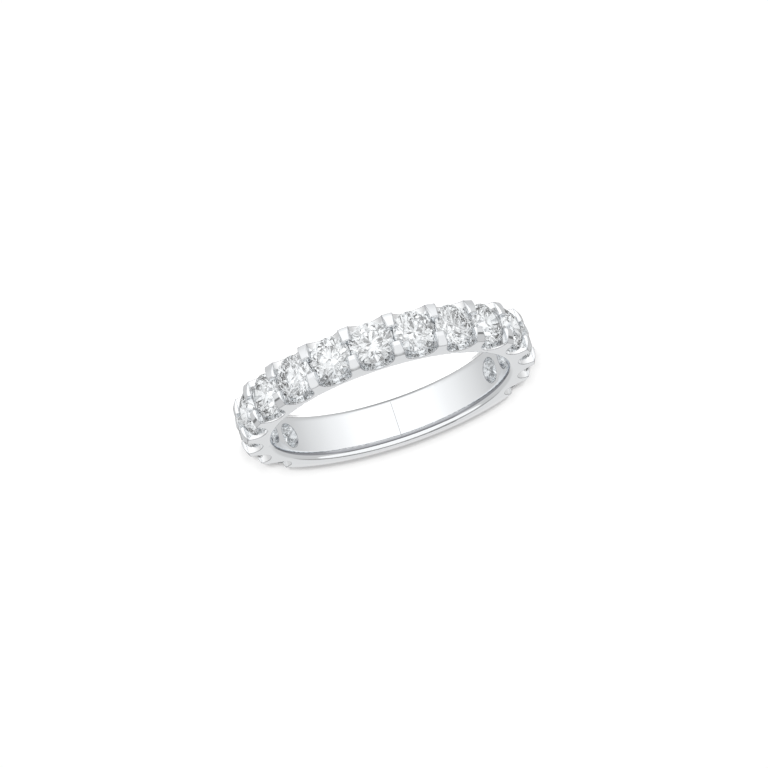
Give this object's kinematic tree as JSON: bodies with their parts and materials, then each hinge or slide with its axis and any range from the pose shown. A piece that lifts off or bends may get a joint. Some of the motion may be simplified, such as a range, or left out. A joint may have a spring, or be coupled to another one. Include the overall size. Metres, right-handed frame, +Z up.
{
  "type": "diamond band",
  "caption": "Band ring with round brilliants held by shared claws between U-shaped cuts over most of its way round, and a plain shank.",
  "frame": {"origin": "on the axis of the finger hole, in the plane that the lying band rests on", "axes": "+Z up along the axis of the finger hole, -Y towards the middle stone, +Y towards the middle of the plain shank"},
  "size_m": [0.0212, 0.0209, 0.0033],
  "materials": {
    "white_gold": "mirror-polished rhodium-plated white gold",
    "diamond": "polished brilliant-cut facets"
  },
  "bodies": {
    "root": {"band": "white_gold", "stone_01": "diamond", "stone_02": "diamond", "stone_03": "diamond", "stone_04": "diamond", "stone_05": "diamond", "stone_06": "diamond", "stone_07": "diamond", "stone_08": "diamond", "stone_09": "diamond", "stone_10": "diamond", "stone_11": "diamond", "stone_12": "diamond", "stone_13": "diamond", "stone_14": "diamond", "stone_15": "diamond"}
  },
  "joints": []
}
